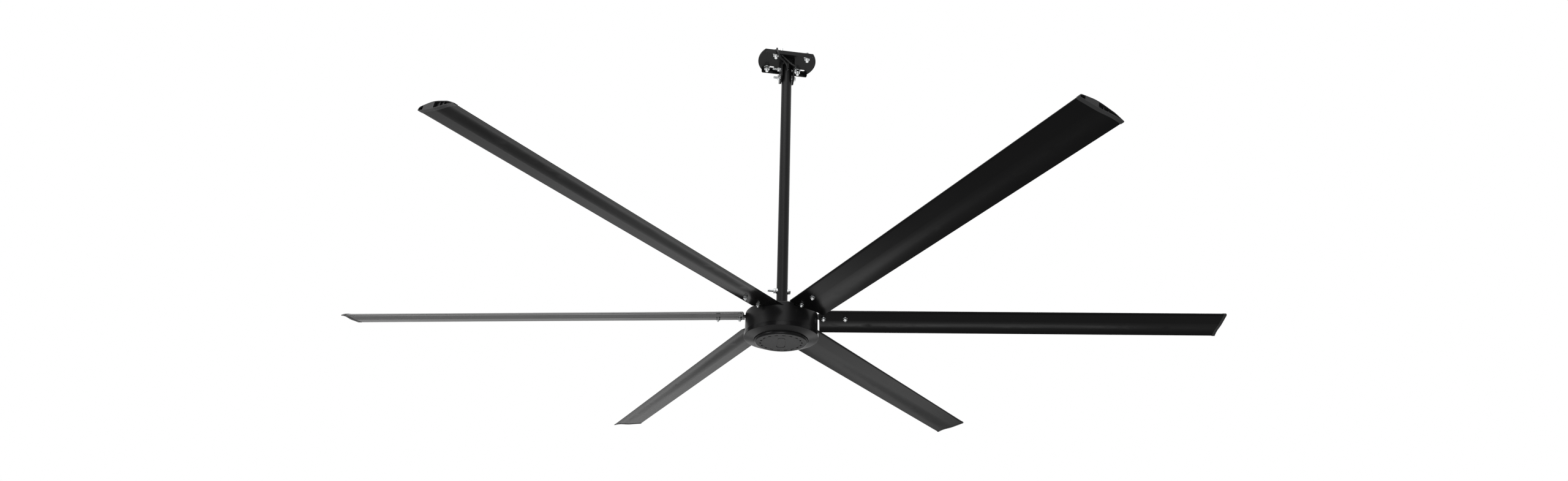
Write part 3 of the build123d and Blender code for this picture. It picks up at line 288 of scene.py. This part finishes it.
finishes = {slot: blackCoat(slot.replace("_", " "), s) for slot, s in coats.items()}
finishes.update({slot: metalFinish(slot.replace("_", " "), s) for slot, s in metals.items()})
bladeFinishes = [bladeFinish(azimuth, bladeCoat) for azimuth in bladeAzimuths]
for row in frame["record"]["subparts"]:
    node, slot = row["node"], row["material_slot"]
    mesh = nodes[node].data
    mesh.materials.clear()
    mesh.materials.append(bladeFinishes[int(node[-1]) - 1] if slot == "blade_black" else finishes[slot])
print("finishes made")


# World: white to the camera and in gloss, a soft even light otherwise
lighting = {
    "ambient": 0.45,
    "background": 1.0,
    "floorHeight": -3.2,
    "floorRadius": 90.0,
    "floorTone": 0.7,
}


def makeWorld(s):
    world = bpy.data.worlds.new("world")
    world.use_nodes = True
    world.node_tree.nodes.clear()
    sky = Tree(world.node_tree)
    path = sky.node("ShaderNodeLightPath")
    camera, glossy, transmission = path[0], path[3], path[7]
    seen = camera.most(glossy.most(transmission))
    level = seen * (s["background"] - s["ambient"]) + s["ambient"]
    light = sky.node("ShaderNodeBackground", None, {"Color": (1, 1, 1, 1), "Strength": level})[0]
    sky.node("ShaderNodeOutputWorld", None, [light])
    scene.world = world


def makeFloor(s):
    mesh = bpy.data.meshes.new("floor")
    shape = bmesh.new()
    bmesh.ops.create_circle(shape, cap_ends=True, segments=128, radius=s["floorRadius"])
    shape.to_mesh(mesh)
    shape.free()
    floor = bpy.data.objects.new("floor", mesh)
    scene.collection.objects.link(floor)
    floor.location = (0, 0, s["floorHeight"])
    f = Finish("floor")
    cloud = f.noise(0.8)
    f.feed(Base_Color=f.blend(cloud, tone(s["floorTone"] * 0.97), tone(s["floorTone"])))
    backfacing = f.node("ShaderNodeNewGeometry")[6]
    f.feed(Alpha=1 - backfacing)  # nothing hides the fan from below
    f.constants(Roughness=0.9)
    mesh.materials.append(f.material)


lamps = {  # place, target, width and depth, watts
    "left lamp": ((-3.2, -1.6, -0.6), (0, 0, -0.9), (1.6, 1.6), 40),
    "top lamp": ((-0.8, -1.2, 1.6), (0, 0, -0.8), (2.2, 2.2), 40),
    "right panel": ((0.9, 3.95, -3.1), (0.9, 3.95, 0), (4.2, 2.0), 35),
    "far panel": ((-2.2, 14.0, -3.1), (-2.2, 14.0, 0), (11.6, 8.2), 320),
    "low lamp": ((-0.35, -2.1, -2.8), (-0.35, -2.1, 0), (1.2, 2.6), 48),
    "back lamp": ((-1.0, -6.0, 1.2), (0, 0, -0.9), (3.0, 2.0), 50),
}


def areaLamp(name, place, target, size, power):
    data = bpy.data.lights.new(name, "AREA")
    data.shape = "RECTANGLE"
    data.size, data.size_y = size
    data.energy = power
    lamp = bpy.data.objects.new(name, data)
    scene.collection.objects.link(lamp)
    aim = (Vector(target) - Vector(place)).to_track_quat("-Z", "Y")
    lamp.matrix_world = Matrix.Translation(place) @ aim.to_matrix().to_4x4()
    lamp.visible_camera = False


makeWorld(lighting)
makeFloor(lighting)
for name, facts in lamps.items():
    areaLamp(name, *facts)
print("light made")


def plainMesh(piece):
    seen = piece.evaluated_get(bpy.context.evaluated_depsgraph_get())
    return bpy.data.meshes.new_from_object(seen)


# A Geometry Nodes tree with named sizes, which takes a geometry and a finish
class Shape(Tree):
    def __init__(self, name, sizes, source="Seats"):
        super().__init__(bpy.data.node_groups.new(name, "GeometryNodeTree"))
        face = self.tree.interface
        face.new_socket(source, in_out="INPUT", socket_type="NodeSocketGeometry")
        for key, value in sizes.items():
            face.new_socket(key, in_out="INPUT", socket_type="NodeSocketFloat").default_value = value
        face.new_socket("Finish", in_out="INPUT", socket_type="NodeSocketMaterial")
        face.new_socket("Solid", in_out="OUTPUT", socket_type="NodeSocketGeometry")
        self.keys = {item.name: item.identifier for item in face.items_tree if item.in_out == "INPUT"}
        self.given = dict(zip(self.keys, self.node("NodeGroupInput")))

    def close(self, geometry):
        real = self.node("GeometryNodeRealizeInstances", None, {"Geometry": geometry})[0]
        coated = {"Geometry": real, "Material": self.given["Finish"]}
        done = self.node("GeometryNodeSetMaterial", None, coated)[0]
        self.node("NodeGroupOutput", None, [done])

    def meshOf(self, piece, sizes, finish):
        modifier = piece.modifiers.new("shape", "NODES")
        modifier.node_group = self.tree
        for key, value in sizes.items():
            modifier[self.keys[key]] = value
        modifier[self.keys["Finish"]] = finish
        made = plainMesh(piece)
        bpy.data.objects.remove(piece)
        return made


def ropeShape():  # strands laid round a route, as in a wire rope
    sizes = {"Strands": 6, "Thickness": 0.0016, "Pitch": 0.02, "Step": 0.0005}
    shape = Shape("rope", sizes, "Route")
    strands, thick, pitch, step = (shape.given[k] for k in sizes)
    path = shape.node(
        "GeometryNodeResampleCurve", {"mode": "LENGTH"}, {"Curve": shape.given["Route"], "Length": step}
    )[0]
    copies, number = shape.node(
        "GeometryNodeDuplicateElements", {"domain": "SPLINE"}, {"Geometry": path, "Amount": strands}
    )
    along = shape.node("GeometryNodeSplineParameter")[1]  # length so far
    angle = (along / pitch + number / strands) * tau
    across = shape.node("GeometryNodeInputNormal")[0]
    ahead = shape.node("GeometryNodeInputTangent")[0]
    beside = shape.node("ShaderNodeVectorMath", {"operation": "CROSS_PRODUCT"}, [ahead, across])[0]
    shifts = [
        shape.node(
            "ShaderNodeVectorMath", {"operation": "SCALE"}, {"Vector": way, "Scale": turn * thick}
        )[0]
        for way, turn in ((across, angle.of("COSINE")), (beside, angle.of("SINE")))
    ]
    shift = shape.node("ShaderNodeVectorMath", {"operation": "ADD"}, shifts)[0]
    laid = shape.node("GeometryNodeSetPosition", None, {"Geometry": copies, "Offset": shift})[0]
    circle = {"Resolution": 10, "Radius": thick * 0.5}
    ring = shape.node("GeometryNodeCurvePrimitiveCircle", None, circle)[0]
    tubes = [
        shape.node(
            "GeometryNodeCurveToMesh", None, {"Curve": line, "Profile Curve": ring, "Fill Caps": True}
        )[0]
        for line in (laid, path)  # the strands and the core
    ]
    both = shape.tree.nodes.new("GeometryNodeJoinGeometry")
    for tube in tubes:
        shape.tree.links.new(tube.link, both.inputs[0])
    shape.close(Socket(shape, both.outputs[0]))
    return shape


# Cords, on the routes of their solids
cords = {
    "supplyCable": {
        "points": [
            (0, -0.0099, -0.060), (0, -0.0099, -0.044), (-0.0015, -0.017, -0.032),
            (-0.0085, -0.0255, -0.025), (-0.018, -0.033, -0.0205), (-0.026, -0.0415, -0.0208),
            (-0.0314, -0.050, -0.022), (-0.037, -0.0595, -0.017), (-0.041, -0.0595, -0.0085),
            (-0.0414, -0.0595, 0),
        ],
        "bevel": 0.003,
    },
    "safetyRope": {
        "points": [
            (-0.024, -0.044, -0.004), (-0.024, -0.044, -0.0105), (-0.0142, -0.040, -0.0176),
            (-0.0035, -0.036, -0.0254), (0.0084, -0.032, -0.0328), (0.0185, -0.031, -0.0385),
            (0.02736, -0.02715, -0.04004), (0.02604, -0.01787, -0.03849),
        ],
        "bevel": 0,  # strands are laid round it
        "lay": {"Strands": 6, "Thickness": 0.00166, "Pitch": 0.021, "Step": 0.0005},
    },
}


def makeCord(name, s):
    data = bpy.data.curves.new(name, "CURVE")
    data.dimensions = "3D"
    spline = data.splines.new("NURBS")
    spline.points.add(len(s["points"]) - 1)
    for point, place in zip(spline.points, s["points"]):
        point.co = (*place, 1)
    spline.order_u = 3
    spline.use_endpoint_u = True
    spline.resolution_u = 12
    data.bevel_depth = s["bevel"]
    data.bevel_resolution = 5
    data.use_fill_caps = s["bevel"] > 0
    cord = bpy.data.objects.new(name, data)
    scene.collection.objects.link(cord)
    return cord


cable = makeCord("supplyCable", cords["supplyCable"])
cable.data.materials.append(finishes["cable_sheath"])
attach(cable, "hanger")
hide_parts("supply_cable")

route = makeCord("ropeRoute", cords["safetyRope"])
ropePath = [tuple(v.co) for v in plainMesh(route).vertices]
strands = ropeShape().meshOf(route, cords["safetyRope"]["lay"], finishes["rope_sheath"])
strands.materials.clear()
strands.materials.append(finishes["rope_sheath"])
strands.shade_smooth()
rope = bpy.data.objects.new("safetyRope", strands)
scene.collection.objects.link(rope)
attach(rope, "hanger")
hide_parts("safety_rope")
print("cords made")


# Shares of the pitch
threadDepth = 0.61
threadTaper = 0.66  # how far the end narrows


# Fasteners: a grid is wrapped round the Z axis, one column for each angle and one row for each corner
# of the outline, then put on each seat
class Fastener(Shape):
    def wrap(self, outline, hexagon=None, thread=None, columns=36):
        corners = len(outline)
        rows = corners
        if thread:
            turns = thread["length"] / thread["pitch"]
            rows = (turns * 2).of("CEIL") + (corners + 4)  # two rows a turn, and the end's centre
        grid = self.node(
            "GeometryNodeMeshGrid", None,
            {"Size X": 1, "Size Y": 1, "Vertices X": columns + 1, "Vertices Y": rows},
        )[0]
        across, up, _ = self.apart(self.node("GeometryNodeInputPosition")[0])
        share = across + 0.5
        row = ((up + 0.5) * (rows - 1)).of("ROUND")
        angle = share * tau
        if hexagon:
            side = (share * 6).of("FLOOR")
            along = (share * 6).of("FRACT") * 2 - 1
            bent = along * (2 - abs(along))  # columns lie closer beside a corner
            angle = (side + (bent + 1) * 0.5) * (tau / 6)
        places = [self.point(r, 0, z) for r, z in outline]
        if thread:
            pitch, long, radius = thread["pitch"], thread["length"], thread["radius"]
            step = row - corners
            down = ((step * 0.5 - share) * pitch).most(0).least(long)
            tooth = abs((down / pitch + share).of("FRACT") * 2 - 1)
            cut = tooth * pitch * threadDepth * (down / pitch).least(1)
            worn = (radius - cut).least(radius - pitch * threadTaper + (long - down))
            places.append(self.point(worn * (row < rows - 1.5), 0, thread["top"] - down))
            row = row.least(corners)
        corner = self.node(
            "GeometryNodeIndexSwitch", {"data_type": "VECTOR", "choices": len(places)}, [row, *places]
        )[0]
        reach, _, height = self.apart(corner)
        if hexagon:
            flat = hexagon * 0.5 / (bent * (tau / 12)).of("COSINE")
            reach = reach.least(flat)
        shaped = self.point(reach * angle.of("COSINE"), reach * angle.of("SINE"), height)
        return self.node("GeometryNodeSetPosition", None, {"Geometry": grid, "Position": shaped})[0]

    def attribute(self, name):
        vector = {"data_type": "FLOAT_VECTOR"}
        return self.node("GeometryNodeInputNamedAttribute", vector, {"Name": name})[0]

    def finish(self, geometry):
        turn = self.node(
            "FunctionNodeAxesToRotation", {"primary_axis": "Z", "secondary_axis": "X"},
            [self.attribute("axis"), self.attribute("side")],
        )[0]
        self.close(self.node(
            "GeometryNodeInstanceOnPoints", None,
            {"Points": self.given["Seats"], "Instance": geometry, "Rotation": turn},
        )[0])


def washerShape():
    shape = Fastener("washer", {"Radius": 0.006, "Bore": 0.0032, "Height": 0.0012, "Edge": 0.0002})
    radius, bore, height, edge = (shape.given[k] for k in ("Radius", "Bore", "Height", "Edge"))
    outline = [
        (bore, edge), (bore + edge, 0), (radius - edge, 0), (radius, edge), (radius, height - edge),
        (radius - edge * 1.5, height), (bore + edge, height), (bore, height - edge), (bore, edge),
    ]
    shape.finish(shape.wrap(outline, columns=40))
    return shape


def hexEdge(flats, base, up):
    # Corners of a chamfer, from the face's circle out to the hexagon's corners or back
    circle, reach, slope = 0.475, 0.0925, 0.577  # a slope of 30 degrees
    steps = (0, 0.3, 0.55, 0.8, 1) if up else (1, 0.8, 0.55, 0.3, 0)
    sign = 1 if up else -1
    return [(flats * (circle + reach * t), base + flats * (sign * reach * t * slope)) for t in steps]


def nutShape():
    shape = Fastener("nut", {"Flats": 0.01, "Height": 0.005, "Bore": 0.0026})
    flats, height, bore = (shape.given[k] for k in ("Flats", "Height", "Bore"))
    sink = bore * 0.16
    outline = [
        (bore, sink), (bore + sink, 0), *hexEdge(flats, flats * 0, True), *hexEdge(flats, height, False),
        (bore + sink, height), (bore, height - sink), (bore, sink),
    ]
    shape.finish(shape.wrap(outline, hexagon=flats))
    return shape


def boltShape():  # its head stands on the seat, and its shank goes down from it
    sizes = {
        "Flats": 0.01, "Height": 0.004, "Radius": 0.003, "Length": 0.025, "Plain": 0.01, "Pitch": 0.001,
    }
    shape = Fastener("bolt", sizes)
    flats, height, radius, length, plain, pitch = (shape.given[k] for k in sizes)
    lip = flats * 0.03  # under the head
    dish = height - flats * 0.02  # in the head's top
    outline = [
        (0, dish), (flats * 0.3, dish), (flats * 0.36, height), *hexEdge(flats, height, False)[::-1],
        (flats * 0.5675, lip), (flats * 0.47, lip), (flats * 0.46, 0), (radius, 0),
    ]
    thread = {"radius": radius, "pitch": pitch, "length": length - plain, "top": -plain}
    shape.finish(shape.wrap(outline, hexagon=flats, thread=thread))
    return shape


def studShape():
    sizes = {"Radius": 0.005, "Length": 0.03, "Pitch": 0.0015}
    shape = Fastener("stud", sizes)
    radius, length, pitch = (shape.given[k] for k in sizes)
    end = pitch * threadTaper
    outline = [(0, 0), (radius - end, 0), (radius, -end)]
    thread = {"radius": radius, "pitch": pitch, "length": length - end, "top": -end}
    shape.finish(shape.wrap(outline, thread=thread, columns=28))
    return shape


washer, nut, bolt, stud = washerShape(), nutShape(), boltShape(), studShape()


def seat(place, axis, side):
    return (Vector(place), Vector(axis), Vector(side))


def inFrame(matrix, r, height, up=1):
    turn = matrix.to_3x3()
    return seat(matrix @ Vector((r, 0, height)), turn @ Vector((0, 0, up)), turn @ Vector((1, 0, 0)))


def fastenerSet(name, shape, batches, body, node, slot="zinc"):
    work = bmesh.new()
    for sizes, seats in batches:
        spots = bpy.data.meshes.new(name)
        spots.from_pydata([place for place, _, _ in seats], [], [])
        for key, column in (("axis", 1), ("side", 2)):
            values = spots.attributes.new(key, "FLOAT_VECTOR", "POINT").data
            for value, facts in zip(values, seats):
                value.vector = facts[column]
        piece = bpy.data.objects.new(name, spots)
        scene.collection.objects.link(piece)
        work.from_mesh(shape.meshOf(piece, sizes, finishes[slot]))
    bmesh.ops.remove_doubles(work, verts=work.verts, dist=0.000002)
    bmesh.ops.dissolve_degenerate(work, edges=work.edges, dist=0.000001)
    bmesh.ops.recalc_face_normals(work, faces=work.faces)
    solid = bpy.data.meshes.new(name)
    work.to_mesh(solid)
    work.free()
    solid.materials.append(finishes[slot])
    solid.shade_smooth()
    solid.set_sharp_from_angle(angle=radians(25))
    piece = bpy.data.objects.new(name, solid)
    scene.collection.objects.link(piece)
    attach(piece, body)
    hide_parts(node)


ceilingHardware = {
    "places": [(-0.059, 0.037), (0.041, 0.037), (-0.041, -0.037), (0.059, -0.037)],
    "plateFace": -4 * mm,
    "washer": {"Radius": 0.010, "Bore": 0.00525, "Height": 0.002, "Edge": 0.0003},
    "nut": {"Flats": 0.016, "Height": 0.0084, "Bore": 0.00415},
    "stud": {"Radius": 0.005, "Length": 0.0344, "Pitch": 0.0015},
    "studTop": 12 * mm,
}


def ceilingSet(s):
    def down(height):
        return [seat((x, y, height), (0, 0, -1), (1, 0, 0)) for x, y in s["places"]]

    plateFace = s["plateFace"]
    nutFace = plateFace - s["washer"]["Height"]
    fastenerSet("ceilingWashers", washer, [(s["washer"], down(plateFace))], "hanger", "ceiling_washers")
    fastenerSet("ceilingNuts", nut, [(s["nut"], down(nutFace))], "hanger", "ceiling_nuts")
    tops = [seat((x, y, s["studTop"]), (0, 0, 1), (1, 0, 0)) for x, y in s["places"]]
    fastenerSet("ceilingStuds", stud, [(s["stud"], tops)], "hanger", "ceiling_studs")


crossHardware = {
    "washer": {"Radius": 0.008, "Bore": 0.0043, "Height": 0.0016, "Edge": 0.00025},
    "nut": {"Flats": 0.013, "Height": 0.0065, "Bore": 0.0033},
    "bolt": {"Flats": 0.013, "Height": 0.0053, "Radius": 0.004, "Pitch": 0.00125},
    "bolts": [
        {"height": -35.5 * mm, "face": 21.5 * mm, "eyelet": 2 * mm, "Length": 0.070, "Plain": 0.046},
        {"height": -69.0 * mm, "face": 21.5 * mm, "eyelet": 0, "Length": 0.065, "Plain": 0.043},
        {"height": -806.0 * mm, "face": 16.875 * mm, "eyelet": 0, "Length": 0.060, "Plain": 0.034},
    ],
}


def crossSet(s):
    thick = s["washer"]["Height"]

    def facing(row, out, side):
        return seat((side * (row["face"] + out), 0, row["height"]), (side, 0, 0), (0, 1, 0))

    washers = [facing(row, 0, side) for row in s["bolts"] for side in (1, -1)]
    fastenerSet("crossWashers", washer, [(s["washer"], washers)], "hanger", "cross_bolt_washers")
    nuts = [facing(row, thick, -1) for row in s["bolts"]]
    fastenerSet("crossNuts", nut, [(s["nut"], nuts)], "hanger", "cross_bolt_nuts")
    bolts = [
        (
            {**s["bolt"], "Length": row["Length"], "Plain": row["Plain"]},
            [facing(row, thick + row["eyelet"], 1)],
        )
        for row in s["bolts"]
    ]
    fastenerSet("crossBolts", bolt, bolts, "hanger", "cross_bolts")


bladeHardware = {
    "radii": (0.1175, 0.1785),  # from the hub's axis
    "droop": 0.43,  # degrees, down towards the tip
    "pitch": 12.0,  # degrees of twist about the blade's length
    "headSeat": 17.5 * mm,  # heights in the blade's own frame
    "topWasher": 16.3 * mm,
    "underWasher": 2.3 * mm,
    "nutSeat": 1.1 * mm,
    "washer": {"Radius": 0.006, "Bore": 0.0032, "Height": 0.0012, "Edge": 0.0002},
    "nut": {"Flats": 0.010, "Height": 0.005, "Bore": 0.00248},
    "bolt": {
        "Flats": 0.010, "Height": 0.004, "Radius": 0.003, "Length": 0.025, "Plain": 0.008, "Pitch": 0.001,
    },
    "armRadii": (0.070, 0.084),
    "armSeat": 13 * mm,
    "armScrew": {
        "Flats": 0.010, "Height": 0.004, "Radius": 0.003, "Length": 0.0115, "Plain": 0.003, "Pitch": 0.001,
    },
}


def bladeSet(s):
    centre = Matrix.Translation((0, 0, bladePlane))
    hubs = [centre @ Matrix.Rotation(radians(a), 4, "Z") for a in bladeAzimuths]
    tilt = Matrix.Rotation(radians(s["droop"]), 4, "Y") @ Matrix.Rotation(radians(-s["pitch"]), 4, "X")

    def onBlades(height, up):
        return [inFrame(hub @ tilt, r, height, up) for hub in hubs for r in s["radii"]]

    fastenerSet("bladeBolts", bolt, [(s["bolt"], onBlades(s["headSeat"], 1))], "rotor", "blade_bolts")
    washers = onBlades(s["topWasher"], 1) + onBlades(s["underWasher"], -1)
    fastenerSet("bladeWashers", washer, [(s["washer"], washers)], "rotor", "blade_washers")
    fastenerSet("bladeNuts", nut, [(s["nut"], onBlades(s["nutSeat"], -1))], "rotor", "blade_nuts")
    screws = [inFrame(hub, r, s["armSeat"]) for hub in hubs for r in s["armRadii"]]
    fastenerSet("armScrews", bolt, [(s["armScrew"], screws)], "rotor", "arm_screws")


ceilingSet(ceilingHardware)
crossSet(crossHardware)
bladeSet(bladeHardware)
print("fasteners made")
